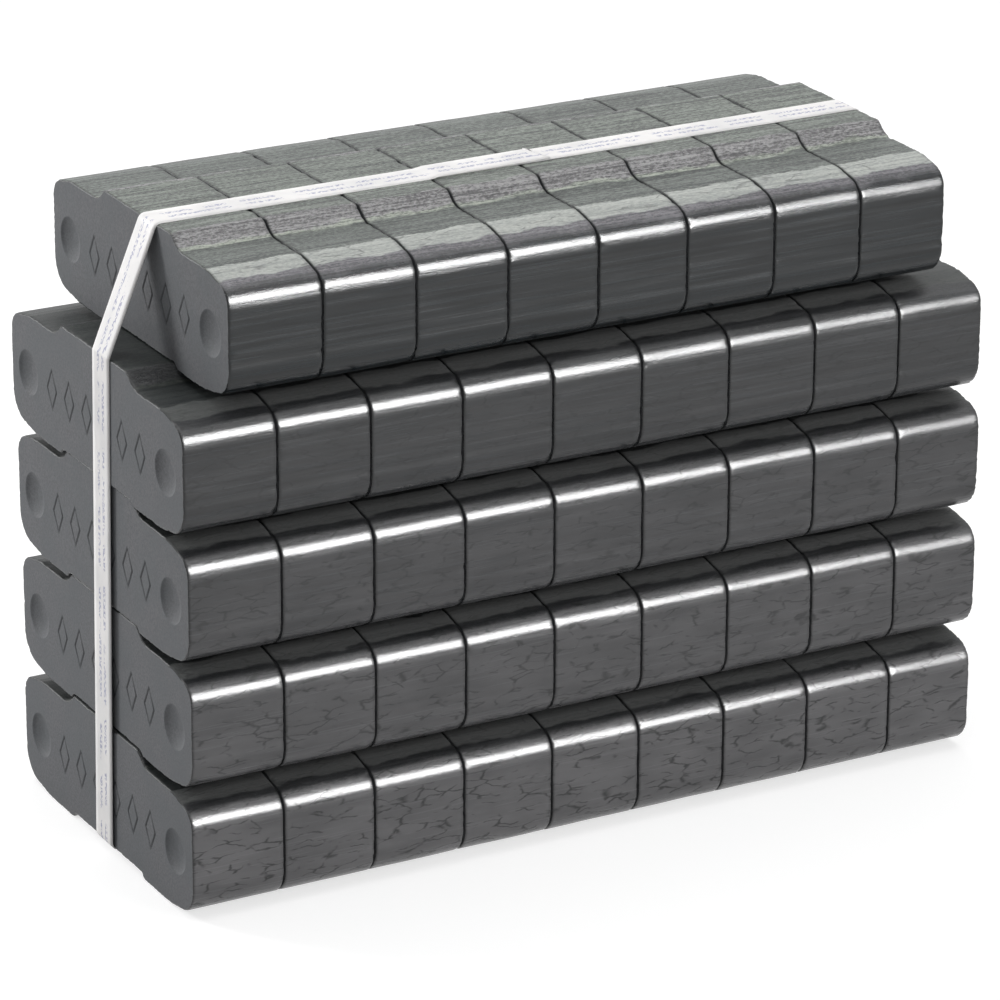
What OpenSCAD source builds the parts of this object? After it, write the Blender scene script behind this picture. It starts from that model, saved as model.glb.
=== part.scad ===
// A strapped bundle of pressed brown-coal briquettes.
// +X runs along the rows, +Y is the depth of a briquette, +Z is up. The origin is on
// the floor, under the middle of the bundle. The marked face of each briquette looks to -X.

/* [Briquette] */
// Long side of a briquette, which is the depth of the bundle
briquette_l = 183; // [150:1:220]
// Thickness of a briquette along its row, face to face
briquette_t = 45.5; // [36:0.5:60]
// Height that each layer adds, from crown to crown
layer_pitch = 60; // [50:1:75]
// Radius of the two long upper edges
top_edge_r = 10; // [6:1:14]
// Strip beside each upper edge in which the shoulder falls away
top_slope_w = 20; // [15:1:24]
// Angle of that fall below level, in degrees
top_slope_a = 12; // [4:1:16]
// Radius of the two long lower edges
bottom_edge_r = 14; // [8:1:18]
// Strip beside each lower edge in which the underside rises
bottom_slope_w = 26; // [19:1:30]
// Angle of that rise above level, in degrees
bottom_slope_a = 9; // [3:1:14]

/* [Crown and recess] */
// Flat width of the raised crown on the top
crown_w = 68; // [40:1:76]
// Height of the crown above the shoulders beside it
crown_h = 6; // [4:0.5:8]
// Radius of the crown's outer edge
crown_edge_r = 3; // [2:0.5:5]
// Radius of the hollow between crown and shoulder
crown_foot_r = 12; // [8:0.5:13]
// Slope of the crown's flank, in degrees above level
flank_a = 42; // [35:1:50]
// Play beside a crown in the recess of the briquette that rests on it
nest_gap = 0.8; // [0.4:0.1:1.5]
// Gap between the shoulders of two layers, because the crown carries
shoulder_gap = 3.4; // [1:0.2:3.8]

/* [Marked face] */
// Diameter of the two shallow round dimples
dimple_d = 21.5; // [15:0.5:26]
// Depth of a dimple at its middle
dimple_depth = 3; // [1:0.1:4]
// Distance of a dimple's middle from the nearer long side
dimple_inset = 18.5; // [16:0.5:22]
// Number of plain lozenges between the dimples
mark_count = 6; // [3:1:7]
// Height of a lozenge
mark_h = 21; // [10:1:26]
// Width of the groove that draws a lozenge
groove_w = 1.4; // [1:0.1:2]
// Depth of that groove
groove_depth = 0.8; // [0.4:0.1:1.2]
// Free space between the marks and each dimple
mark_gap = 6; // [3:0.5:10]
// Width of a lozenge, as a share of the distance from one to the next
mark_share = 0.62; // [0.5:0.02:0.8]

/* [Stack] */
// Number of layers
layers = 5; // [3:1:6]
// Briquettes in each full layer
row_count = 9; // [6:1:10]
// Briquettes in the top layer
top_count = 8; // [5:1:9]
// How far each layer stands off the middle along its row, lowest first
layer_shift = [0.2, 1.0, 0.5, -0.8, -1.0, 0]; // [-1.5:0.1:1.5]

/* [Strap] */
// Width of the plastic tape
strap_w = 17; // [12:0.5:25]
// Thickness of the tape
strap_t = 0.6; // [0.4:0.05:1]
// Middle of the tape, measured from the middle of the depth
strap_y = -6; // [-20:1:20]
// Length of the welded overlap on the top
weld_l = 60; // [40:1:80]
// Free end of the overlap, measured from the middle of the bundle
weld_end_x = 16; // [-20:1:40]

/* [Hidden] */
$fn = 96;
// Depth of the recess: its roof over the lower shoulders
recess_h = crown_h - shoulder_gap;
// Crowns of the top layer and of the highest full layer, above the floor
stack_top = recess_h + layers * layer_pitch;
last_full_top = stack_top - layer_pitch;
shoulder_z = layer_pitch - crown_h;
half_l = briquette_l / 2;
// Sideways run from the crown down to the shoulder: edge curve, straight flank, foot curve
curve_drop = (crown_edge_r + crown_foot_r) * (1 - cos(flank_a));
curve_run = (crown_edge_r + crown_foot_r) * sin(flank_a);
crown_run = curve_run + (crown_h - curve_drop) / tan(flank_a);
// Both dimples and the marks sit at the middle of the shoulders' thickness
mark_z = (shoulder_z - recess_h) / 2;
dimple_y = half_l - dimple_inset;
mark_row_w = 2 * (dimple_y - dimple_d / 2 - mark_gap);
mark_pitch = mark_row_w / mark_count;
mark_w = mark_pitch * mark_share;
// The tape is pulled tight over the layers that stand out furthest
side_x = row_count * briquette_t / 2 + max([for (s = layer_shift) abs(s)]);
// Heights of the centres of the lower and the upper long edges
lower_centre_z = -recess_h + edge_rise(bottom_slope_w, bottom_slope_a, bottom_edge_r);
upper_centre_z = shoulder_z - edge_rise(top_slope_w, top_slope_a, top_edge_r);
// Straight pieces that stand for each arc of a flank, and of a long edge
arc_steps = 6;
edge_steps = 8;
cut = 1;
coal = "dimgray";
tape = "gainsboro";

function count_in(layer) = layer < layers ? row_count : top_count;
function shift_of(layer) = layer_shift[layer - 1];
function row_start(layer) = shift_of(layer) - count_in(layer) * briquette_t / 2;
function floor_of(layer) = recess_h + (layer - 1) * layer_pitch;
function briquette_name(layer, i) = str("layer_", layer, "_briquette_", i);

// How far an edge's centre lies in from the level face, by a slope that meets its arc
function edge_rise(slope_w, slope_a, r) =
    (slope_w - r + r * sin(slope_a)) * tan(slope_a) + r * cos(slope_a);

// Points of an arc about a centre, from one angle to another
function arc(centre, r, from_a, to_a, steps = arc_steps) =
    [for (k = [0:steps]) let (a = from_a + (to_a - from_a) * k / steps)
        [centre[0] + r * cos(a), centre[1] + r * sin(a)]];

// The same points in the opposite order, on the other side of the middle
function mirrored(points) =
    [for (k = [len(points) - 1:-1:0]) [-points[k][0], points[k][1]]];

// Right half of the block, from the lower shoulder round to the upper one
function block_side() = concat(
    [[half_l - bottom_slope_w, -recess_h]],
    arc([half_l - bottom_edge_r, lower_centre_z], bottom_edge_r, 270 + bottom_slope_a, 360, edge_steps),
    arc([half_l - top_edge_r, upper_centre_z], top_edge_r, 0, 90 - top_slope_a, edge_steps),
    [[half_l - top_slope_w, shoulder_z]]
);

// The S-shaped flank on the +Y side, from its foot on the shoulder up to the crown
function flank(edge_y, foot_y) = concat(
    arc([foot_y, shoulder_z + crown_foot_r], crown_foot_r, 270, 270 - flank_a),
    arc([edge_y, layer_pitch - crown_edge_r], crown_edge_r, 90 - flank_a, 90)
);

// Raised strip with an S-shaped flank on each side; extra widens it all over
module crown(extra = 0) {
    edge_y = crown_w / 2 + extra;
    foot_y = edge_y + crown_run;
    base_z = shoulder_z - cut;
    right = concat([[foot_y, base_z]], flank(edge_y, foot_y));
    polygon(concat(right, mirrored(right)));
}

// End view of a briquette: the crown of the one below fits the recess of the one above
module profile() {
    difference() {
        union() {
            polygon(concat(block_side(), mirrored(block_side())));
            crown();
        }
        translate([0, -layer_pitch]) crown(nest_gap);
    }
}

// Outline of one lozenge, drawn as a groove
module lozenge(w, h) {
    difference() {
        polygon([[-w / 2, 0], [0, -h / 2], [w / 2, 0], [0, h / 2]]);
        inner_w = w - groove_w * sqrt(w * w + h * h) / h * 2;
        inner_h = inner_w * h / w;
        polygon([[-inner_w / 2, 0], [0, -inner_h / 2], [inner_w / 2, 0], [0, inner_h / 2]]);
    }
}

// What the die presses into the face that looks to -X
module face_marks() {
    ball_r = (dimple_d * dimple_d / 4 + dimple_depth * dimple_depth) / (2 * dimple_depth);
    for (side = [-1, 1])
        translate([dimple_depth - ball_r, side * dimple_y, mark_z]) sphere(ball_r);
    for (i = [0:mark_count - 1])
        translate([-cut, (i + 0.5) * mark_pitch - mark_row_w / 2, mark_z])
            rotate([90, 0, 90]) linear_extrude(groove_depth + cut) lozenge(mark_w, mark_h);
}

// One briquette, its marked face at x = 0 and its recess roof at z = 0
module briquette() {
    color(coal) difference() {
        rotate([90, 0, 90]) linear_extrude(briquette_t) profile();
        face_marks();
    }
}

module placed_briquette(layer, i) {
    translate([row_start(layer) + (i - 1) * briquette_t, 0, floor_of(layer)]) briquette();
}

// Run of the tape in the X-Z plane, as one outline grown outwards by t
module strap_outline(t) {
    left_x = row_start(layers);
    right_x = left_x + top_count * briquette_t;
    // Angle below level of the two stretches that lean from the top layer to the next
    left_a = atan2(layer_pitch, left_x + side_x);
    right_a = atan2(layer_pitch, side_x - right_x);
    polygon([
        [-side_x - t, recess_h - t],
        [side_x + t, recess_h - t],
        [side_x + t, last_full_top + t * tan((90 - right_a) / 2)],
        [right_x + t * tan(right_a / 2), stack_top + t],
        [left_x - t * tan(left_a / 2), stack_top + t],
        [-side_x - t, last_full_top + t * tan((90 - left_a) / 2)]
    ]);
}

// Closed loop of tape with its welded overlap on the top
module strap() {
    color(tape) translate([0, strap_y + strap_w / 2, 0]) rotate([90, 0, 0])
        linear_extrude(strap_w) {
            difference() {
                strap_outline(strap_t);
                strap_outline(0);
            }
            translate([weld_end_x - weld_l, stack_top + strap_t]) square([weld_l, strap_t]);
        }
}

for (layer = [1:layers]) for (i = [1:count_in(layer)])
    placed_briquette(layer, i);
strap();
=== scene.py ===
# %% [markdown]
# # A strapped bundle of pressed brown-coal briquettes
# The bundle is forty-four briquettes in five layers, held by one plastic tape. The packed
# model gives every piece its place. This lesson rebuilds each briquette and the tape with
# the wear, the pressed marks and the finishes that the plain solids don't have.

import math

import bmesh
import bpy
from mathutils import Matrix, Vector, noise
from mathutils.kdtree import KDTree


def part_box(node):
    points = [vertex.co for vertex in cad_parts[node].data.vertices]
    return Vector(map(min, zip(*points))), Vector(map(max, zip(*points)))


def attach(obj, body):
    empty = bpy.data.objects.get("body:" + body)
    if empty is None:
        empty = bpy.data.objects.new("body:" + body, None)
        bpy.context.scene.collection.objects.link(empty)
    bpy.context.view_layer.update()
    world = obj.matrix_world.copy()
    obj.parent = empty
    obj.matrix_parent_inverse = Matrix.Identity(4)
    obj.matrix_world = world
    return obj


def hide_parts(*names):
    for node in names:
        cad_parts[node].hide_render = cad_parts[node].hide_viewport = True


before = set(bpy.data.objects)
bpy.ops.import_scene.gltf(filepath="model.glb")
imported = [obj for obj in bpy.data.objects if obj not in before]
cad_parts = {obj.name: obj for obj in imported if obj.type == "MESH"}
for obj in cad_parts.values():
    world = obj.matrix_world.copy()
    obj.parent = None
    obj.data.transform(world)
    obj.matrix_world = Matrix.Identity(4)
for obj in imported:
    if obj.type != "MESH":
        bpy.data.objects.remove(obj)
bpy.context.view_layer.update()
print("packed nodes:", len(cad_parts))

# %% [markdown]
# All sizes are written in millimetres, as on a drawing, and turned to metres in one place.
# Colours are written as sRGB hex values, because that is how a colour is picked, and
# one function turns them into the linear values that a shader adds up.

# %% Units, colours and small helpers
MM = 0.001
BODY = "root"


def linear(hex_colour):
    """An sRGB hex colour as linear RGBA."""
    parts = [int(hex_colour[k:k + 2], 16) / 255 for k in (1, 3, 5)]
    return [c / 12.92 if c <= 0.04045 else ((c + 0.055) / 1.055) ** 2.4 for c in parts] + [1.0]


def smooth_step(low, high, value):
    """0 below low, 1 above high, and a soft ramp between."""
    t = min(max((value - low) / (high - low), 0.0), 1.0)
    return t * t * (3 - 2 * t)


def show_as_piece(bm, name, materials, node):
    """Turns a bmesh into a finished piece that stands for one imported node."""
    mesh = bpy.data.meshes.new(name)
    bm.to_mesh(mesh)
    bm.free()
    for material in materials:
        mesh.materials.append(material)
    piece = bpy.data.objects.new(name, mesh)
    bpy.context.scene.collection.objects.link(piece)
    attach(piece, BODY)
    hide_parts(node)
    return piece


# %% [markdown]
# A material is a small network of nodes. One function adds any node: it sets what it is told
# to set, and each input gets a number, a hex colour or another node's output. Each finish
# below then reads as a list of what happens to the surface.

# %% One function that adds a shader node
SOFT = {"interpolation_type": "SMOOTHSTEP"}
TIMES = {"operation": "MULTIPLY"}
PLUS = {"operation": "ADD"}
MINUS = {"operation": "SUBTRACT"}
LARGER = {"operation": "MAXIMUM"}
COLOURS = {"data_type": "RGBA"}
OWN = {"noise_dimensions": "4D"}


def add(tree, kind, settings=None, inputs=None, output=0):
    """Adds a node with its settings and links, and returns one of its outputs."""
    node = tree.nodes.new(kind)
    for name, value in (settings or {}).items():
        setattr(node, name, value)
    for name, value in (inputs or {}).items():
        socket = node.inputs[name]
        if isinstance(value, bpy.types.NodeSocket):
            tree.links.new(value, socket)
        else:
            socket.default_value = linear(value) if isinstance(value, str) else value
    return node.outputs[output] if node.outputs else None


def new_tree(name):
    """A named material and its empty node tree."""
    material = bpy.data.materials.new(name)
    material.use_nodes = True
    material.node_tree.nodes.clear()
    return material, material.node_tree


# %% [markdown]
# ## The finish of the long sides
# A briquette is dried brown coal pushed through a hot steel channel. The channel walls
# burnish the four long sides: they get a dark, waxy skin with streaks along the way the
# piece was pushed (+X). Where layers rubbed, the top carries pale dust. So the finish is
# painted in bands: an attribute says how far a point lies from the crown's middle, measured
# along the skin, and noise that is stretched along X breaks the bands up. An image can't do
# this as well, because the bands must bend with every edge and differ on every piece.

# %% Where a point lies on the skin
def skin_place(tree):
    """The place in X and round the outline, the piece's own number, and the way round."""
    objects = add(tree, "ShaderNodeTexCoord", output="Object")
    along = add(tree, "ShaderNodeSeparateXYZ", {}, {0: objects})
    skin = add(tree, "ShaderNodeAttribute", {"attribute_name": "skin"}, output="Fac")
    seed = add(tree, "ShaderNodeAttribute", {"attribute_name": "piece_seed"}, output="Fac")
    own = add(tree, "ShaderNodeMath", TIMES, {0: seed, 1: 37.0})
    place = add(tree, "ShaderNodeCombineXYZ", {}, {"X": along, "Y": skin})
    return place, own, skin


def skin_patterns(tree, place, own):
    """Noise of several sizes, each given in mm along X and mm round the outline."""
    patterns = {}
    for name, size_x, size_skin, detail, rough in (
        ("streak", 45, 1.9, 5.0, 0.6), ("die_line", 500, 0.9, 2.0, 0.5), ("grain", 2.2, 0.9, 6.0, 0.7),
        ("cloud", 34, 12, 3.0, 0.5), ("wander", 22, 14, 5.0, 0.6), ("patch", 9, 5, 2.0, 0.5),
    ):
        scale = (1 / (size_x * MM), 1 / (size_skin * MM), 1.0)
        scaled = add(tree, "ShaderNodeMapping", {}, {"Vector": place, "Scale": scale})
        inputs = {"Vector": scaled, "W": own, "Scale": 1.0, "Detail": detail, "Roughness": rough}
        patterns[name] = add(tree, "ShaderNodeTexNoise", OWN, inputs)
    return patterns


# %% [markdown]
# The dried skin opens in fine hair cracks, most of them on the lower layers, which carry the
# load. They are the borders of long cells, about 17 mm along X and 4 mm across. Real cracks
# are finer; these are drawn about two thirds of a millimetre wide, so that they can be seen
# from two metres.

# %% Hair cracks
def hair_cracks(tree, place, own, patch):
    """1 on thin, broken, wavy lines along the push."""
    scaled = add(tree, "ShaderNodeMapping", {}, {"Vector": place, "Scale": (90.0, 160.0, 1.0)})
    bend = add(tree, "ShaderNodeTexNoise", OWN, {"Vector": scaled, "W": own, "Scale": 1.0, "Detail": 3.0}, 1)
    bent = add(tree, "ShaderNodeVectorMath", {"operation": "MULTIPLY_ADD"},
               {0: bend, 1: (0.012, 0.006, 0.0), 2: place})
    cell = add(tree, "ShaderNodeMapping", {}, {"Vector": bent, "Scale": (60.0, 230.0, 1.0)})
    border = add(tree, "ShaderNodeTexVoronoi", {"feature": "DISTANCE_TO_EDGE"},
                 {"Vector": cell, "Scale": 1.0})
    line = add(tree, "ShaderNodeMapRange", SOFT, {0: border, 1: 0.0, 2: 0.08, 3: 1.0, 4: 0.0})
    broken = add(tree, "ShaderNodeMapRange", SOFT, {0: patch, 1: 0.44, 2: 0.58})
    return add(tree, "ShaderNodeMath", TIMES, {0: line, 1: broken})


# %% [markdown]
# The bands follow how the piece was made and stacked. Each row below is one band: how far
# its end lies from the crown's middle in mm, its dark coal colour and the lighter colour of
# its streaks. The crown is grey-green and flecked, its flank is torn and rough, a pale line runs
# along its foot, the shoulder is plain, dust lies on the sloping edge, and the front is bare.

# %% The bands of the top
SHOULDER_DARK = "#303433"
SHOULDER_LIGHT = "#767c77"
BAND_BLUR = 0.7
TOP_BANDS = (
    ("crown", 35, "#2e3231", "#868d85"),
    ("torn_flank", 45, "#403f41", "#a5a4a5"),
    ("crown_foot", 47.5, "#5b615a", "#b0b6aa"),
    ("shoulder", 72, SHOULDER_DARK, SHOULDER_LIGHT),
    ("dust", 85, "#989c99", "#babdb8"),
    ("bare_rounding", 91, "#434247", "#7d7b80"),
)
FRONT_DARK = "#090e11"
FRONT_LIGHT = "#172025"
FRONT_LOWER_GREY = "#7d7c7e"
# Soft steps along the skin, from and to, in metres from the crown's middle
TOP_ENDS = (0.088, 0.094)
DUST_STARTS = (0.0715, 0.0725)
DUST_ENDS = (0.0835, 0.0865)
DUST_SIDE_ENDS = (0.060, 0.065)
TORN_STARTS = (0.034, 0.037)
TORN_ENDS = (0.043, 0.046)
ROUNDING_ENDS = (0.096, 0.104)


def top_colours(tree, way, streaky):
    """The colour of the top and rounding, laid band over band from the crown outwards."""
    upper = None
    start = 0.0
    for name, end, dark, light in TOP_BANDS:
        mixed = add(tree, "ShaderNodeMix", COLOURS, {0: streaky, 6: dark, 7: light}, 2)
        if upper is None:
            upper = mixed
        else:
            edge = add(tree, "ShaderNodeMapRange", SOFT,
                       {0: way, 1: (start - BAND_BLUR) * MM, 2: (start + BAND_BLUR) * MM})
            upper = add(tree, "ShaderNodeMix", COLOURS, {0: edge, 6: upper, 7: mixed}, 2)
        start = end
    return upper


# %% Die-burnished brown coal
def make_burnished_coal():
    """Dark, waxy, die-burnished skin with streaks, hair cracks and dust on the top."""
    material, tree = new_tree("brown_coal_die_burnished")
    place, own, skin = skin_place(tree)
    far = add(tree, "ShaderNodeMath", {"operation": "ABSOLUTE"}, {0: skin})
    patterns = skin_patterns(tree, place, own)
    depth_in_stack = add(tree, "ShaderNodeAttribute", {"attribute_name": "depth_in_stack"}, output="Fac")
    near_end = add(tree, "ShaderNodeAttribute", {"attribute_name": "near_end"}, output="Fac")
    # The bands wander a few millimetres, most of it over a length of two centimetres
    shift = add(tree, "ShaderNodeMath", {"operation": "MULTIPLY_ADD"},
                {0: patterns["wander"], 1: 0.013, 2: -0.0065})
    way = add(tree, "ShaderNodeMath", PLUS, {0: far, 1: shift})
    way = add(tree, "ShaderNodeMath", {"operation": "MULTIPLY_ADD"},
              {0: patterns["grain"], 1: 0.003, 2: way})
    low, high = TOP_ENDS
    top = add(tree, "ShaderNodeMapRange", SOFT, {0: way, 1: low, 2: high, 3: 1.0, 4: 0.0})
    low, high = DUST_STARTS
    dust_in = add(tree, "ShaderNodeMapRange", SOFT, {0: way, 1: low, 2: high})
    low, high = DUST_ENDS
    dust_out = add(tree, "ShaderNodeMapRange", SOFT, {0: way, 1: low, 2: high, 3: 1.0, 4: 0.0})
    dust = add(tree, "ShaderNodeMath", TIMES, {0: dust_in, 1: dust_out})
    low, high = DUST_SIDE_ENDS
    in_front = add(tree, "ShaderNodeMapRange", SOFT, {0: skin, 1: low, 2: high, 3: 1.0, 4: 0.0})
    dust = add(tree, "ShaderNodeMath", TIMES, {0: dust, 1: in_front})
    low, high = TORN_STARTS
    torn_in = add(tree, "ShaderNodeMapRange", SOFT, {0: way, 1: low, 2: high})
    low, high = TORN_ENDS
    torn_out = add(tree, "ShaderNodeMapRange", SOFT, {0: way, 1: low, 2: high, 3: 1.0, 4: 0.0})
    torn = add(tree, "ShaderNodeMath", TIMES, {0: torn_in, 1: torn_out})
    # Streaks of the whole channel and of this piece, in one value
    mixed = add(tree, "ShaderNodeMix", {}, {0: 0.4, 2: patterns["streak"], 3: patterns["die_line"]})
    flecked = add(tree, "ShaderNodeMix", {}, {0: 0.5, 2: patterns["grain"], 3: mixed})
    streaky = add(tree, "ShaderNodeMapRange", SOFT, {0: flecked, 1: 0.43, 2: 0.58})
    upper = top_colours(tree, way, streaky)
    # The back shoulder has no dust: it keeps the plain shoulder's colours
    plain = add(tree, "ShaderNodeMix", COLOURS, {0: streaky, 6: SHOULDER_DARK, 7: SHOULDER_LIGHT}, 2)
    upper = add(tree, "ShaderNodeMix", COLOURS, {0: in_front, 6: plain, 7: upper}, 2)
    # Single pale crumbs
    crumb = add(tree, "ShaderNodeMapRange", SOFT, {0: patterns["grain"], 1: 0.63, 2: 0.71, 4: 0.8})
    upper = add(tree, "ShaderNodeMix", COLOURS, {0: crumb, 6: upper, 7: "#aab0aa"}, 2)
    # The front: near-black, mixed with more grey the lower its layer lies, so the lower fronts are lighter
    lines = add(tree, "ShaderNodeMapRange", SOFT, {0: mixed, 1: 0.38, 2: 0.62})
    front = add(tree, "ShaderNodeMix", COLOURS, {0: lines, 6: FRONT_DARK, 7: FRONT_LIGHT}, 2)
    uneven = add(tree, "ShaderNodeMapRange", SOFT,
                 {0: patterns["cloud"], 1: 0.25, 2: 0.75, 3: 0.62, 4: 1.0})
    lower_layer_grey = add(tree, "ShaderNodeMath", TIMES, {0: depth_in_stack, 1: uneven})
    front = add(tree, "ShaderNodeMix", COLOURS, {0: lower_layer_grey, 6: front, 7: FRONT_LOWER_GREY}, 2)
    # Only the top layer is dusty. The tops of the lower layers are painted near black: painted shade under
    # the layer above
    painted_shade_under_layers = add(tree, "ShaderNodeMapRange", SOFT, {0: depth_in_stack, 1: 0.0, 2: 0.2, 4: 0.86})
    upper = add(tree, "ShaderNodeMix", COLOURS, {0: painted_shade_under_layers, 6: upper, 7: "#14181a"}, 2)
    colour = add(tree, "ShaderNodeMix", COLOURS, {0: top, 6: front, 7: upper}, 2)
    # Cracks: faint on the top layer's front, plainer below and in the dust
    cracks = hair_cracks(tree, place, own, patterns["patch"])
    share = add(tree, "ShaderNodeMath", {"operation": "MULTIPLY_ADD"}, {0: depth_in_stack, 1: 0.65, 2: 0.25})
    in_dust = add(tree, "ShaderNodeMath", TIMES, {0: dust, 1: 0.45})
    share = add(tree, "ShaderNodeMath", LARGER, {0: share, 1: in_dust})
    cracks = add(tree, "ShaderNodeMath", TIMES, {0: cracks, 1: share})
    colour = add(tree, "ShaderNodeMix", COLOURS, {0: cracks, 6: colour, 7: "#171a1b"}, 2)
    # Painted shade: within a millimetre of each end the skin is darkened to near black, for the shade in the
    # seams between the pieces
    painted_seam_shade = add(tree, "ShaderNodeMath", TIMES, {0: near_end, 1: 0.9})
    colour = add(tree, "ShaderNodeMix", COLOURS, {0: painted_seam_shade, 6: colour, 7: "#0c0f10"}, 2)
    # Burnished where the channel pressed hardest, duller where dust lies
    rough = add(tree, "ShaderNodeMapRange", SOFT, {0: mixed, 1: 0.3, 2: 0.7, 3: 0.20, 4: 0.30})
    rough = add(tree, "ShaderNodeMath", {"operation": "MULTIPLY_ADD"}, {0: top, 1: 0.20, 2: rough})
    rough = add(tree, "ShaderNodeMath", {"operation": "MULTIPLY_ADD"}, {0: dust, 1: 0.3, 2: rough})
    deep = add(tree, "ShaderNodeMapRange", SOFT, {0: torn, 3: 0.05, 4: 0.45})
    low, high = ROUNDING_ENDS
    rounding = add(tree, "ShaderNodeMapRange", SOFT, {0: way, 1: low, 2: high, 3: 0.10, 4: 0.0})
    deep = add(tree, "ShaderNodeMath", PLUS, {0: deep, 1: rounding})
    height = add(tree, "ShaderNodeMath", TIMES, {0: patterns["grain"], 1: deep})
    height = add(tree, "ShaderNodeMath", {"operation": "MULTIPLY_ADD"}, {0: mixed, 1: 0.05, 2: height})
    height = add(tree, "ShaderNodeMath", {"operation": "MULTIPLY_ADD"}, {0: cracks, 1: -0.02, 2: height})
    bump = add(tree, "ShaderNodeBump", {}, {"Height": height, "Strength": 1.0, "Distance": 1.0 * MM})
    shader = add(tree, "ShaderNodeBsdfPrincipled", {},
                 {"Base Color": colour, "Roughness": rough, "IOR": 1.44, "Normal": bump})
    add(tree, "ShaderNodeOutputMaterial", {}, {"Surface": shader})
    return material


# %% [markdown]
# ## The finish of the pressed ends
# The stamp meets the ends of each briquette. They are matt, because the coal is only
# crushed together there and not burnished: a fine, even, mid-grey grain of about a
# millimetre with a few darker crumbs. Its pattern needs no direction, so it is plain noise.

# %% Punch-pressed brown coal
def make_pressed_coal():
    """Matt grey pressed face with a fine crumb."""
    material, tree = new_tree("brown_coal_punch_pressed")
    objects = add(tree, "ShaderNodeTexCoord", output="Object")
    crumb = add(tree, "ShaderNodeTexNoise", {},
                {"Vector": objects, "Scale": 900.0, "Detail": 5.0, "Roughness": 0.65})
    cloud = add(tree, "ShaderNodeTexNoise", {}, {"Vector": objects, "Scale": 45.0, "Detail": 3.0})
    share = add(tree, "ShaderNodeMapRange", SOFT, {0: crumb, 1: 0.3, 2: 0.7})
    colour = add(tree, "ShaderNodeMix", COLOURS, {0: share, 6: "#4c4d50", 7: "#5e5f62"}, 2)
    share = add(tree, "ShaderNodeMapRange", SOFT, {0: cloud, 1: 0.35, 2: 0.65, 4: 0.5})
    colour = add(tree, "ShaderNodeMix", COLOURS, {0: share, 6: colour, 7: "#4e5255"}, 2)
    # Painted shade: the floors of the mark grooves are darkened, for the shade inside the grooves
    painted_groove_shade = add(tree, "ShaderNodeAttribute", {"attribute_name": "painted_groove_shade"}, output="Fac")
    colour = add(tree, "ShaderNodeMix", COLOURS, {0: painted_groove_shade, 6: colour, 7: "#232527"}, 2)
    bump = add(tree, "ShaderNodeBump", {}, {"Height": crumb, "Strength": 0.35, "Distance": 0.4 * MM})
    shader = add(tree, "ShaderNodeBsdfPrincipled", {},
                 {"Base Color": colour, "Roughness": 0.72, "IOR": 1.5, "Normal": bump})
    add(tree, "ShaderNodeOutputMaterial", {}, {"Surface": shader})
    return material


BURNISHED = make_burnished_coal()
PRESSED = make_pressed_coal()
print("finishes:", BURNISHED.name, PRESSED.name)

# %% [markdown]
# ## One briquette
# Every briquette came out of the same channel, so one outline serves all of them: a block
# with rounded long edges, a raised crown on top and a matching recess below, by which the
# layers nest. The outline starts as a few corner points and one face. Bevelling single
# corners rounds them, extruding the face gives the thickness, and cuts across the piece
# give it rings of vertices that the wear can move later.

# %% Sizes of a briquette, the main ones from the frame
first_low, first_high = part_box("layer_1_briquette_1")
LENGTH = first_high.y - first_low.y
THICK = first_high.x - first_low.x
TALL = first_high.z - first_low.z
CROWN = 6.0 * MM
RECESS = 2.6 * MM
PITCH = TALL - RECESS
SHOULDER = PITCH - CROWN
CROWN_HALF = 34.0 * MM
NEST_GAP = 0.8 * MM
FLANK = math.radians(42)
CROWN_EDGE_R = 3.0 * MM
CROWN_FOOT_R = 12.0 * MM
TOP_EDGE_R, TOP_SLOPE_W, TOP_SLOPE = 10.0 * MM, 20.0 * MM, math.radians(12)
LOW_EDGE_R, LOW_SLOPE_W, LOW_SLOPE = 14.0 * MM, 26.0 * MM, math.radians(9)
END_EDGE = 0.6 * MM
OUTLINE_STEP = 1.5 * MM
CUTS_AT = (1.6, 2.6, 4.2, 7.0, 12.0, 18.0, 24.0, 30.0, 35.0, 39.0, 41.4, 43.0)
MARKED_BACK = 0.25 * MM
PLAIN_BACK = 0.5 * MM
print("briquette, mm:", [round(v / MM, 1) for v in (THICK, LENGTH, TALL)])


def outline_corners():
    """Half of the end view as sharp corners, each with the bevel that rounds it."""
    half = LENGTH / 2
    edge = CROWN_HALF + CROWN_EDGE_R * math.tan(FLANK / 2)
    run = CROWN / math.tan(FLANK)
    dip = RECESS / math.tan(FLANK)
    top_turn, low_turn = (math.pi / 2 - TOP_SLOPE) / 2, (math.pi / 2 - LOW_SLOPE) / 2
    return [
        (edge, PITCH, CROWN_EDGE_R * math.tan(FLANK / 2), 4),
        (edge + run, SHOULDER, CROWN_FOOT_R * math.tan(FLANK / 2), 7),
        (half - TOP_SLOPE_W, SHOULDER, 4.0 * MM, 4),
        (half, SHOULDER - TOP_SLOPE_W * math.tan(TOP_SLOPE), TOP_EDGE_R * math.tan(top_turn), 14),
        (half, LOW_SLOPE_W * math.tan(LOW_SLOPE) - RECESS, LOW_EDGE_R * math.tan(low_turn), 14),
        (half - LOW_SLOPE_W, -RECESS, 4.0 * MM, 3),
        (edge + NEST_GAP + dip, -RECESS, 0.8 * MM, 2),
        (edge + NEST_GAP, 0.0, 0.8 * MM, 2),
    ]


# %% The block: outline, thickness and rings
outline = []


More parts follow.
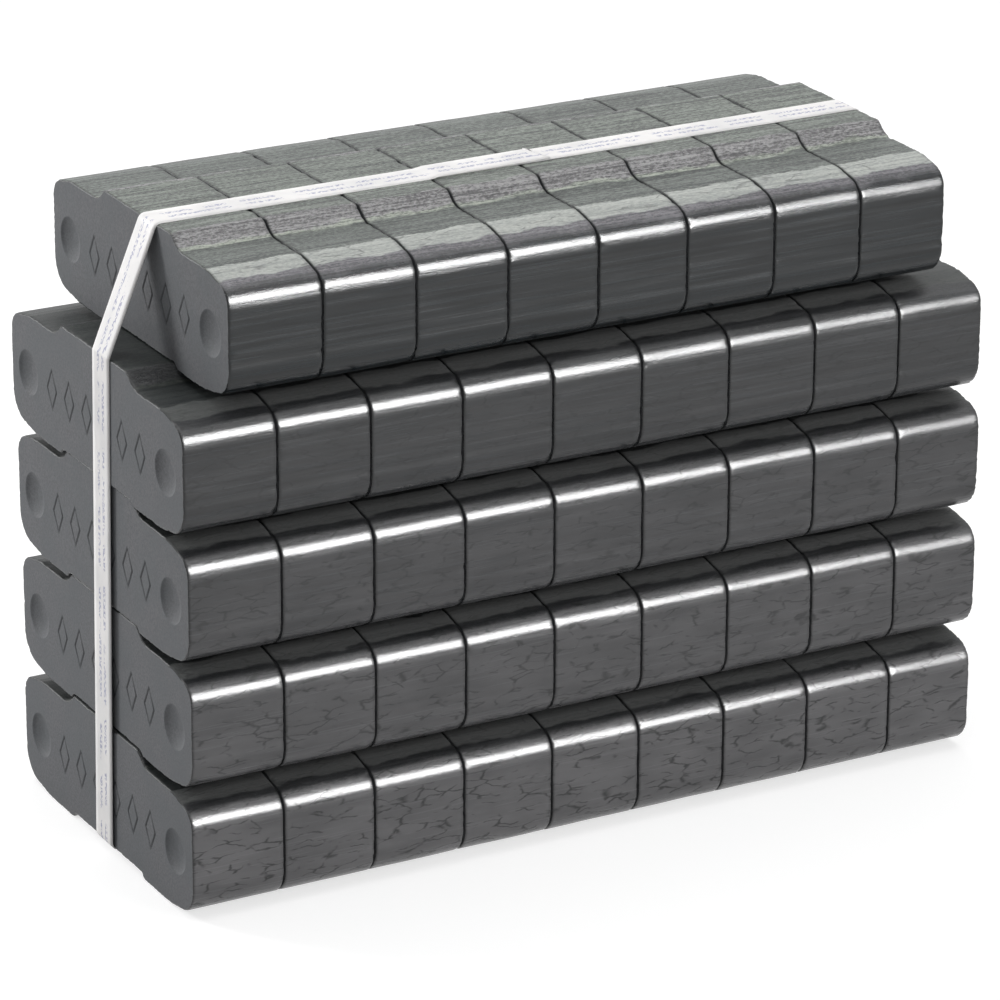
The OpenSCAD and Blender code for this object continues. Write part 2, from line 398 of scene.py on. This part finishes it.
def start_block():
    """The extruded outline at x = 0, with its long edges rounded."""
    bm = bmesh.new()
    right = outline_corners()
    corners = right + [(-y, z, size, steps) for y, z, size, steps in reversed(right)]
    verts = [bm.verts.new((0.0, y, z)) for y, z, size, steps in corners]
    bm.faces.new(verts)
    roundings = {}
    for vert, (y, z, size, steps) in zip(verts, corners):
        roundings.setdefault((size, steps), []).append(vert)
    for (size, steps), group in roundings.items():
        bmesh.ops.bevel(bm, geom=group, offset=size, offset_type="OFFSET", segments=steps,
                        profile=0.5, affect="VERTICES", material=-1)
    for edge in list(bm.edges):
        cuts = int(edge.calc_length() / OUTLINE_STEP)
        if cuts:
            bmesh.ops.subdivide_edges(bm, edges=[edge], cuts=cuts)
    bm.faces.ensure_lookup_table()
    outline[:] = [v.co.copy() for v in bm.faces[0].verts]
    grown = bmesh.ops.extrude_face_region(bm, geom=bm.faces[:])
    moved = [item for item in grown["geom"] if isinstance(item, bmesh.types.BMVert)]
    bmesh.ops.translate(bm, verts=moved, vec=(THICK - MARKED_BACK - PLAIN_BACK, 0, 0))
    bmesh.ops.translate(bm, verts=bm.verts[:], vec=(MARKED_BACK, 0, 0))
    bmesh.ops.recalc_face_normals(bm, faces=bm.faces)
    return bm


def end_faces(bm):
    """The two flat ends, first the one at x = 0."""
    flat = [f for f in bm.faces if abs(f.normal.x) > 0.99 and len(f.verts) > 60]
    return sorted(flat, key=lambda f: f.calc_center_median().x)


block = start_block()
ends = end_faces(block)
print("outline points:", len(ends[0].verts))

# %% [markdown]
# ## The pressed face
# The stamp leaves two shallow round dimples and a row of marks on the face that looks to -X.
# The other face is guessed: it gets a faint relief of them, as if pressed against such a
# face. A flat face can't hold such shapes, so it is opened, rings and lozenges are laid into
# the hole, and one fill closes what lies between. The marks are plain lozenges, which mean
# nothing. They are built ring by ring, because a lozenge that is scaled and bridged can fold
# through itself without leaving an open edge.

# %% Dimples and marks
DIMPLE_R = 10.75 * MM
DIMPLE_DEPTH = 3.0 * MM
DIMPLE_INSET = 18.5 * MM
DIMPLE_RINGS = (0.94, 0.84, 0.7, 0.5, 0.25)
MARK_COUNT = 6
MARK_H = 21.0 * MM
MARK_GAP = 6.0 * MM
MARK_SHARE = 0.62
GROOVE_W = 1.4 * MM
GROOVE_DEPTH = 0.8 * MM
RELIEF = 0.5 * MM
FACE_MIDDLE = (SHOULDER - RECESS) / 2
DIMPLE_Y = LENGTH / 2 - DIMPLE_INSET
MARK_ROW = 2 * (DIMPLE_Y - DIMPLE_R - MARK_GAP)
MARK_PITCH = MARK_ROW / MARK_COUNT
MARK_W = MARK_PITCH * MARK_SHARE


def ring_of_edges(verts):
    """The closed loop of edges between verts."""
    inside = set(verts)
    return list({e for v in verts for e in v.link_edges if e.other_vert(v) in inside})


def new_ring(bm, x, y, z, radius, count=40):
    """A circle of edges that stands upright across X."""
    place = Matrix.Translation((x, y, z)) @ Matrix.Rotation(math.pi / 2, 4, "Y")
    made = bmesh.ops.create_circle(bm, cap_ends=False, radius=radius, segments=count, matrix=place)
    return made["verts"]


def sink_ring(bm, verts, scale, move_x, centre):
    """Extrudes a loop and draws the new one together and along X."""
    grown = bmesh.ops.extrude_edge_only(bm, edges=ring_of_edges(verts))
    fresh = [item for item in grown["geom"] if isinstance(item, bmesh.types.BMVert)]
    bmesh.ops.scale(bm, vec=(1, scale, scale), space=Matrix.Translation(-Vector(centre)), verts=fresh)
    bmesh.ops.translate(bm, verts=fresh, vec=(move_x, 0, 0))
    return fresh


def add_dimple(bm, x, y, depth):
    """A round bowl on the left face, or a low dome on the right one, depth towards +X."""
    rim = new_ring(bm, x, y, FACE_MIDDLE, DIMPLE_R)
    loop, radius, sunk = rim, DIMPLE_R, 0.0
    for share in DIMPLE_RINGS:
        target = depth * (1 - share * share) ** 0.8
        loop = sink_ring(bm, loop, share * DIMPLE_R / radius, target - sunk, (x, y, FACE_MIDDLE))
        radius, sunk = share * DIMPLE_R, target
    bmesh.ops.contextual_create(bm, geom=ring_of_edges(loop))
    return rim


def new_lozenge(bm, x, y, shrink):
    """Four corners of a lozenge, drawn in by shrink on every side."""
    slope = math.hypot(MARK_W, MARK_H)
    half_w = MARK_W / 2 - shrink * slope / MARK_H
    half_h = half_w * MARK_H / MARK_W
    spots = ((0, half_h), (half_w, 0), (0, -half_h), (-half_w, 0))
    verts = [bm.verts.new((x, y + dy, FACE_MIDDLE + dz)) for dy, dz in spots]
    for k in range(4):
        bm.edges.new((verts[k], verts[(k + 1) % 4]))
    return verts


def add_mark(bm, x, y, depth):
    """A lozenge drawn as a groove, or as a ridge where depth points outwards."""
    rings = [new_lozenge(bm, x + sink, y, shrink) for shrink, sink in (
        (0.0, 0.0), (0.35 * GROOVE_W, depth), (0.65 * GROOVE_W, depth), (GROOVE_W, 0.0))]
    for outer, inner in zip(rings, rings[1:]):
        for k in range(4):
            after = (k + 1) % 4
            bm.faces.new((outer[k], outer[after], inner[after], inner[k]))
    bm.faces.new(rings[-1])
    return rings[0]


def open_and_mark(bm, face, sunk, groove):
    """Opens a flat end and closes it again around dimples and marks, moved along +X."""
    x = face.verts[0].co.x
    rim = ring_of_edges(face.verts[:])
    bmesh.ops.delete(bm, geom=[face], context="FACES_ONLY")
    loops = list(rim)
    for side in (-1, 1):
        loops += ring_of_edges(add_dimple(bm, x, side * DIMPLE_Y, sunk))
    for k in range(MARK_COUNT):
        y = (k + 0.5) * MARK_PITCH - MARK_ROW / 2
        loops += ring_of_edges(add_mark(bm, x, y, groove))
    filled = bmesh.ops.triangle_fill(bm, use_beauty=True, edges=loops)
    return len(filled["geom"])


# %% Rounded end edges, then both faces
def finish_block(bm):
    """Softens the two end outlines, opens both ends for their marks and cuts the rings."""
    edges = list({e for f in end_faces(bm) for e in f.edges})
    bmesh.ops.bevel(bm, geom=edges, offset=END_EDGE, offset_type="OFFSET", segments=2,
                    profile=0.5, affect="EDGES", material=-1)
    for place in CUTS_AT:
        cut = bm.verts[:] + bm.edges[:] + bm.faces[:]
        bmesh.ops.bisect_plane(bm, geom=cut, plane_co=(place * MM, 0, 0), plane_no=(1, 0, 0))
    left, right = end_faces(bm)
    long_sides = set(bm.faces) - {left, right}
    counts = [open_and_mark(bm, left, DIMPLE_DEPTH, GROOVE_DEPTH)]
    counts.append(open_and_mark(bm, right, RELIEF, RELIEF))
    bmesh.ops.recalc_face_normals(bm, faces=bm.faces)
    for face in bm.faces:
        face.material_index = 0 if face in long_sides else 1
        face.smooth = abs(face.normal.x) < 0.999
    return counts


print("pieces in the two filled ends:", finish_block(block))
open_edges = [e for e in block.edges if len(e.link_faces) != 2]
flipped_edges = [e for e in block.edges if not e.is_contiguous]
print("open edges:", len(open_edges), "flipped:", len(flipped_edges), "faces:", len(block.faces))

# %% [markdown]
# ## Wear
# The channel is scored, so every briquette carries the same fine ridges along X: noise that
# depends only on the place across the outline. Each piece also dries a little out of true
# and loses crumbs along its two end outlines. All of this only takes coal away, so a worn
# piece never grows past its packed size. One more fact is read off the outline first: how
# far along the skin each point lies, which the finish needs for its bands.

# %% Places along the skin
def skin_lookup():
    """A tree of outline points and each one's way along the skin, from the crown's middle."""
    first = max(range(len(outline)), key=lambda k: (round(outline[k].z, 5), -abs(outline[k].y)))
    ordered = outline[first:] + outline[:first]
    ways = [ordered[0].y]
    for before, here in zip(ordered, ordered[1:]):
        ways.append(ways[-1] + (here - before).length)
    around = ways[-1] + (ordered[0] - ordered[-1]).length - ways[0]
    turn = 1 if ordered[1].y > ordered[0].y else -1
    tree = KDTree(len(ordered))
    for k, point in enumerate(ordered):
        tree.insert((0, point.y, point.z), k)
    tree.balance()
    signed = [way if way < around / 2 else way - around for way in ways]
    return tree, [way * turn for way in signed]


skin_tree, skin_ways = skin_lookup()
print("skin round the piece, mm:", round((max(skin_ways) - min(skin_ways)) / MM))


# %% Wear on one piece
CHIP_DEPTH, CHIP_REACH = 0.5, 3.0
CRUMB_DEPTH, CRUMB_REACH = 0.3, 1.5


def wear_piece(bm, seed):
    """Moves the long sides inwards: die ridges, slow waviness, and chips at the ends."""
    bm.normal_update()
    far = Vector((seed * 31.7, seed * 17.3, seed * 23.9))
    for vert in bm.verts:
        if not any(f.material_index == 0 for f in vert.link_faces):
            continue
        inward = Vector((0, vert.normal.y, vert.normal.z))
        if inward.length < 0.05:
            continue
        inward.normalize()
        x, y, z = vert.co / MM
        ridges = 0.10 + 0.16 * noise.noise(Vector((5, y / 2.6, z / 2.6)))
        waves = 0.10 + 0.22 * noise.noise(Vector((x / 26, y / 12, z / 12)) + far)
        to_end = min(x - MARKED_BACK / MM, (THICK - PLAIN_BACK) / MM - x)
        chip = smooth_step(0.25, 0.7, noise.noise(Vector((x / 40, y / 4, z / 4)) + far * 2))
        crumb = smooth_step(-0.1, 0.5, noise.noise(Vector((x / 3, y / 1.5, z / 1.5)) + far))
        edge = CHIP_DEPTH * chip * (1 - smooth_step(0.4, CHIP_REACH, to_end))
        edge += CRUMB_DEPTH * crumb * (1 - smooth_step(0.2, CRUMB_REACH, to_end))
        vert.co -= inward * MM * (max(ridges, 0) + max(waves, 0) + edge)


# %% [markdown]
# ## Forty-four pieces
# Each imported node says where its briquette lies. The block is copied there, worn with its
# own seed, and given the attributes that the finishes read: the way along the skin, how near
# the end is (for the painted shade in the seams), where a mark's groove floor is (for its painted
# shade), the seed, and how low the layer lies in the stack.

# %% Where the tape bites
BITE = 0.9 * MM
BITE_FROM, BITE_TO = 8.6, 10.5
CORNER_TURN = math.radians(34)
TAPE_AT = {("5", "1"): (-12.0, -1), ("5", "8"): (-8.0, 1)}


def bite_corner(bm, corner_x, side, middle):
    """Planes off the end's top edge where the tape turns over it."""
    out = Vector((side * math.sin(CORNER_TURN), 0, math.cos(CORNER_TURN)))
    corner = Vector((corner_x, 0, PITCH))
    for vert in bm.verts:
        over = (vert.co - corner).dot(out) + BITE
        if over > 0 and vert.co.z > PITCH - 4 * MM:
            aside = abs(vert.co.y / MM - middle)
            vert.co -= out * over * (1 - smooth_step(BITE_FROM, BITE_TO, aside))


# %% Placing the briquettes
SEED_STEP = 0.618034


def set_value(bm, name, values):
    """Keeps one number for each vertex under a name that a finish can read."""
    layer = bm.verts.layers.float.new(name)
    for vert, value in zip(bm.verts, values):
        vert[layer] = value


def make_briquette(node, number):
    """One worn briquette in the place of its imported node."""
    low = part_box(node)[0]
    layer, place = node.split("_")[1], node.split("_")[3]
    seed = (number * SEED_STEP) % 1.0
    bm = block.copy()
    total = len(bm.verts)
    skins = [skin_ways[skin_tree.find((0, v.co.y, v.co.z))[1]] for v in bm.verts]
    to_end = [min(v.co.x - MARKED_BACK, THICK - PLAIN_BACK - v.co.x) for v in bm.verts]
    # The floors of the mark grooves, which get painted shade
    floor_x = MARKED_BACK + GROOVE_DEPTH
    painted_groove_shade_per_vertex = [float(abs(v.co.x - floor_x) < 0.01 * MM) for v in bm.verts]
    wear_piece(bm, seed)
    if (layer, place) in TAPE_AT:
        middle, side = TAPE_AT[(layer, place)]
        bite_corner(bm, 0.0 if side < 0 else THICK, side, middle)
    set_value(bm, "skin", skins)
    set_value(bm, "near_end", [1 - smooth_step(0.0, 1.0 * MM, gap) for gap in to_end])
    set_value(bm, "painted_groove_shade", painted_groove_shade_per_vertex)
    set_value(bm, "piece_seed", [seed] * total)
    set_value(bm, "depth_in_stack", [(5 - int(layer)) / 4] * total)
    bmesh.ops.translate(bm, verts=bm.verts[:], vec=(low.x, 0, low.z + RECESS))
    name = f"briquette_row{layer}_{place}"
    return show_as_piece(bm, name, [BURNISHED, PRESSED], node)


briquette_nodes = sorted(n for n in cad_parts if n.startswith("layer_"))
briquettes = [make_briquette(node, k) for k, node in enumerate(briquette_nodes, 1)]
block.free()
triangles = sum(len(p.vertices) - 2 for p in briquettes[0].data.polygons)
print("briquettes:", len(briquettes), "triangles in one:", triangles)

# %% [markdown]
# ## The tape
# Woven tape holds the bundle: white polyester with faded print, welded where its ends
# overlap on the top. It is one strip, so it is grown as one: an edge across the tape is
# extruded from point to point around the bundle, then the strip is thickened outwards.
# A tape that was pulled by hand never lies quite straight, so every corner of its run has
# its own place along Y.

# %% Run of the tape
tape_low, tape_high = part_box("strap")
TAPE_W = tape_high.y - tape_low.y
TAPE_T = 0.6 * MM
TAPE_STEP = 4 * MM
TAPE_STRIPS = 6
BEND_R = 4.0 * MM
BEND_PARTS = 6
WELD_END = 16.0 * MM
WELD_L = 60.0 * MM
top_low, top_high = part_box("layer_5_briquette_1")[0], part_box("layer_5_briquette_8")[1]
TOP = top_high.z
LEFT, RIGHT = tape_low.x, tape_high.x
LOWER_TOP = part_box("layer_4_briquette_1")[1].z


def tape_corners():
    """Corners of the tape's middle line, from the lower end round to the free end."""
    half = TAPE_T / 2
    weld = WELD_END - WELD_L
    return [Vector((x, y * MM, z)) for x, y, z in (
        (weld, -10.0, TOP + half),
        (top_high.x, -8.0, TOP + half),
        (RIGHT - half, -7.5, LOWER_TOP),
        (RIGHT - half, -3.0, half + RECESS - TAPE_T),
        (LEFT + half, 0.5, half + RECESS - TAPE_T),
        (LEFT + half, -9.0, LOWER_TOP),
        (top_low.x, -12.0, TOP + half),
        (weld - 3 * MM, -11.0, TOP + half),
        (weld + 1 * MM, -10.8, TOP + half + TAPE_T),
        (WELD_END, -9.6, TOP + half + TAPE_T),
    )]


def rounded_run(corners, radius, spacing):
    """Points along the corners, with each bend rounded and the straights divided evenly."""
    points = [corners[0]]
    for before, here, after in zip(corners, corners[1:], corners[2:]):
        a, b = (before - here).normalized(), (after - here).normalized()
        bend = math.pi - a.angle(b)
        reach = min(radius * math.tan(bend / 2), (before - here).length / 2, (after - here).length / 2)
        for k in range(BEND_PARTS + 1):
            t = k / BEND_PARTS
            points.append(here + a * reach * (1 - t) ** 2 + b * reach * t ** 2)
    points.append(corners[-1])
    run = [points[0]]
    for start, end in zip(points, points[1:]):
        count = max(1, int((end - start).length / spacing))
        run += [start.lerp(end, k / count) for k in range(1, count + 1)]
    return run


tape_run = rounded_run(tape_corners(), BEND_R, TAPE_STEP)
print("tape stations:", len(tape_run))

# %% [markdown]
# The print needs to follow the tape, so the strip gets a UV map, with the length along it
# and the width across it, both in metres. The free end was torn off askew.

# %% Growing the tape
def tear_free_end(end_edges, middle_y):
    """Skews and frays the last row of vertices."""
    for vert in {v for e in end_edges for v in e.verts}:
        width = (vert.co.y - middle_y) / TAPE_W
        ragged = noise.noise(Vector((3.1, width * 9, 0)))
        vert.co.x += (-5.0 * (width + 0.5) + 1.2 * ragged - 0.6) * MM


def make_tape(material):
    """The welded tape as one solid strip."""
    bm = bmesh.new()
    sides = [-TAPE_W / 2 + TAPE_W * k / TAPE_STRIPS for k in range(TAPE_STRIPS + 1)]
    row = [bm.verts.new((0, side, 0)) for side in sides]
    edges = [bm.edges.new(pair) for pair in zip(row, row[1:])]
    bmesh.ops.translate(bm, verts=row, vec=tape_run[0])
    uv = bm.loops.layers.uv.new("along_tape")
    length = 0.0
    for here, there in zip(tape_run, tape_run[1:]):
        grown = bmesh.ops.extrude_edge_only(bm, edges=edges)["geom"]
        fresh = {item for item in grown if isinstance(item, bmesh.types.BMVert)}
        edges = [item for item in grown if isinstance(item, bmesh.types.BMEdge)]
        edges = [edge for edge in edges if fresh.issuperset(edge.verts)]
        bmesh.ops.translate(bm, verts=list(fresh), vec=there - here)
        step = (there - here).length
        for face in (item for item in grown if isinstance(item, bmesh.types.BMFace)):
            for loop in face.loops:
                is_new = loop.vert in fresh
                width = loop.vert.co.y - (there.y if is_new else here.y)
                loop[uv].uv = (length + (step if is_new else 0.0), width)
        length += step
    tear_free_end(edges, tape_run[-1].y)
    bmesh.ops.recalc_face_normals(bm, faces=bm.faces)
    bmesh.ops.solidify(bm, geom=bm.faces[:], thickness=TAPE_T)
    bmesh.ops.recalc_face_normals(bm, faces=bm.faces)
    for face in bm.faces:
        face.smooth = True
    return show_as_piece(bm, "printed_tape", [material], "strap")


# %% [markdown]
# The print is only noise cut into two rows of small dashes, so it says nothing. Its ink has
# faded to a grey violet. The weave is drawn as fine ribs along the tape.

# %% Woven polyester tape with faded print
def make_tape_material():
    """White polyester tape with fine ribs along it and two rows of faded dashes."""
    material, tree = new_tree("polyester_strapping_tape")
    run = add(tree, "ShaderNodeUVMap", {"uv_map": "along_tape"})
    across = add(tree, "ShaderNodeSeparateXYZ", {}, {0: run}, 1)
    dash = add(tree, "ShaderNodeMapping", {}, {"Vector": run, "Scale": (620.0, 900.0, 1.0)})
    dash = add(tree, "ShaderNodeTexNoise", {"noise_dimensions": "2D"},
               {"Vector": dash, "Scale": 1.0, "Detail": 2.0})
    dash = add(tree, "ShaderNodeMapRange", SOFT, {0: dash, 1: 0.46, 2: 0.54})
    word = add(tree, "ShaderNodeMapping", {}, {"Vector": run, "Scale": (75.0, 60.0, 1.0)})
    word = add(tree, "ShaderNodeTexNoise", {"noise_dimensions": "2D"},
               {"Vector": word, "Scale": 1.0, "Detail": 1.0})
    word = add(tree, "ShaderNodeMapRange", SOFT, {0: word, 1: 0.38, 2: 0.46})
    off = add(tree, "ShaderNodeMath", {"operation": "ABSOLUTE"}, {0: across})
    off = add(tree, "ShaderNodeMath", MINUS, {0: off, 1: 2.4 * MM})
    off = add(tree, "ShaderNodeMath", {"operation": "ABSOLUTE"}, {0: off})
    row = add(tree, "ShaderNodeMapRange", SOFT, {0: off, 1: 0.9 * MM, 2: 1.3 * MM, 3: 0.8, 4: 0.0})
    ink = add(tree, "ShaderNodeMath", TIMES, {0: dash, 1: word})
    ink = add(tree, "ShaderNodeMath", TIMES, {0: ink, 1: row})
    objects = add(tree, "ShaderNodeTexCoord", output="Object")
    soil = add(tree, "ShaderNodeTexNoise", {}, {"Vector": objects, "Scale": 40.0, "Detail": 4.0})
    soil = add(tree, "ShaderNodeMapRange", SOFT, {0: soil, 1: 0.35, 2: 0.75})
    colour = add(tree, "ShaderNodeMix", COLOURS, {0: soil, 6: "#efedec", 7: "#dedddd"}, 2)
    colour = add(tree, "ShaderNodeMix", COLOURS, {0: ink, 6: colour, 7: "#8d8fb0"}, 2)
    ribs = add(tree, "ShaderNodeTexWave", {"bands_direction": "Y"}, {"Vector": run, "Scale": 330.0})
    bump = add(tree, "ShaderNodeBump", {}, {"Height": ribs, "Strength": 0.3, "Distance": 0.1 * MM})
    shader = add(tree, "ShaderNodeBsdfPrincipled", {},
                 {"Base Color": colour, "Roughness": 0.5, "IOR": 1.5, "Normal": bump})
    add(tree, "ShaderNodeOutputMaterial", {}, {"Surface": shader})
    return material


tape = make_tape(make_tape_material())
print("tape faces:", len(tape.data.polygons))

# %% [markdown]
# ## Camera
# The camera stands more than two metres away with a long lens, at the left front corner and
# a little above. From there the long edges run almost parallel.

# %% Camera
CAMERA_AZIMUTH = math.radians(-28.754)
CAMERA_HEIGHT = math.radians(21.07)
CAMERA_ROLL = math.radians(0.241)
CAMERA_DISTANCE = 2.3871
CAMERA_TARGET = Vector((-0.0005, 0.0, 0.1338))
LENS_MM = 184.32
SENSOR_MM = 36


def make_camera():
    """A long lens that looks at the middle of the bundle."""
    data = bpy.data.cameras.new("camera")
    data.lens = LENS_MM
    data.sensor_width = SENSOR_MM
    camera = bpy.data.objects.new("camera", data)
    bpy.context.scene.collection.objects.link(camera)
    level = math.cos(CAMERA_HEIGHT)
    across, away = math.sin(CAMERA_AZIMUTH) * level, -math.cos(CAMERA_AZIMUTH) * level
    back = Vector((across, away, math.sin(CAMERA_HEIGHT)))
    turn = back.to_track_quat("Z", "Y").to_matrix() @ Matrix.Rotation(CAMERA_ROLL, 3, "Z")
    camera.matrix_world = Matrix.Translation(CAMERA_TARGET + back * CAMERA_DISTANCE) @ turn.to_4x4()
    bpy.context.scene.camera = camera
    return camera


print("camera stands at:", [round(v, 2) for v in make_camera().matrix_world.translation])

# %% [markdown]
# ## Light
# A waxy surface shows its lamps. A large softbox overhead lights the tops, one at the back
# left grazes the marked ends so that the dimples show, and two tall cards in front of the
# bundle do nothing but reflect in the rounded front edges, where they draw the white line.
# The right card is weaker, so the line fades a little. The cards light nothing else, because
# their diffuse light is switched off.

# %% Lights
CARDS = (("card_bright", 0.70, 0.48, 165), ("card_weak", 1.20, 0.52, 48))
CARD_Y, CARD_Z, CARD_TALL, CARD_AIM = -2.0, 1.05, 1.35, 1.04


def softbox(name, place, aim, width, height, watts):
    """A rectangular area light that looks at a point."""
    data = bpy.data.lights.new(name, "AREA")
    data.shape = "RECTANGLE"
    data.size, data.size_y = width, height
    data.energy = watts
    lamp = bpy.data.objects.new(name, data)
    bpy.context.scene.collection.objects.link(lamp)
    way = Vector(aim) - Vector(place)
    lamp.matrix_world = Matrix.Translation(place) @ way.to_track_quat("-Z", "Y").to_matrix().to_4x4()
    return lamp


softbox("overhead_softbox", (0.2, 0.1, 1.9), (0, 0, 0.2), 1.8, 1.8, 23)
softbox("left_softbox", (-1.1, 1.2, 0.7), (-0.2, 0, 0.15), 0.4, 0.4, 17)
for name, x, width, watts in CARDS:
    card = softbox(name, (x, CARD_Y, CARD_Z), (x - CARD_AIM, -0.09, 0.2), width, CARD_TALL, watts)
    card.visible_diffuse = False
print("lamps:", len(bpy.data.lights))

# %% [markdown]
# The floor and the space behind it are white to the camera and to reflections, but give only
# part of that light to the bundle. So the ground stays white and still shows a soft shadow.

# %% Floor and world
FLOOR_COLOUR = "#b0b0b0"
FLOOR_GLOW = 0.68
ROOM_LIGHT = 0.30


def seen_directly(tree):
    """1 for camera, glossy and transmission rays, else 0."""
    path = add(tree, "ShaderNodeLightPath", output="Is Camera Ray")
    glossy = add(tree, "ShaderNodeLightPath", output="Is Glossy Ray")
    through = add(tree, "ShaderNodeLightPath", output="Is Transmission Ray")
    either = add(tree, "ShaderNodeMath", LARGER, {0: path, 1: glossy})
    return add(tree, "ShaderNodeMath", LARGER, {0: either, 1: through})


def make_floor():
    """A pale plain floor that stays white to the camera and keeps the shadow."""
    bm = bmesh.new()
    bmesh.ops.create_grid(bm, x_segments=1, y_segments=1, size=6)
    mesh = bpy.data.meshes.new("floor")
    bm.to_mesh(mesh)
    bm.free()
    floor = bpy.data.objects.new("floor", mesh)
    bpy.context.scene.collection.objects.link(floor)
    material, tree = new_tree("pale_floor")
    glow = add(tree, "ShaderNodeMath", TIMES, {0: seen_directly(tree), 1: FLOOR_GLOW})
    shader = add(tree, "ShaderNodeBsdfPrincipled", {},
                 {"Base Color": FLOOR_COLOUR, "Roughness": 0.9,
                  "Emission Color": "#ffffff", "Emission Strength": glow})
    add(tree, "ShaderNodeOutputMaterial", {}, {"Surface": shader})
    mesh.materials.append(material)


def make_world():
    """Even light all round; white where the camera or a reflection looks past the floor."""
    world = bpy.data.worlds.new("studio")
    bpy.context.scene.world = world
    world.use_nodes = True
    tree = world.node_tree
    tree.nodes.clear()
    strength = add(tree, "ShaderNodeMapRange", {}, {0: seen_directly(tree), 3: ROOM_LIGHT, 4: 1.0})
    ground = add(tree, "ShaderNodeBackground", {}, {"Color": "#ffffff", "Strength": strength})
    add(tree, "ShaderNodeOutputWorld", {}, {"Surface": ground})


make_floor()
make_world()
bpy.context.scene.view_settings.view_transform = "Standard"
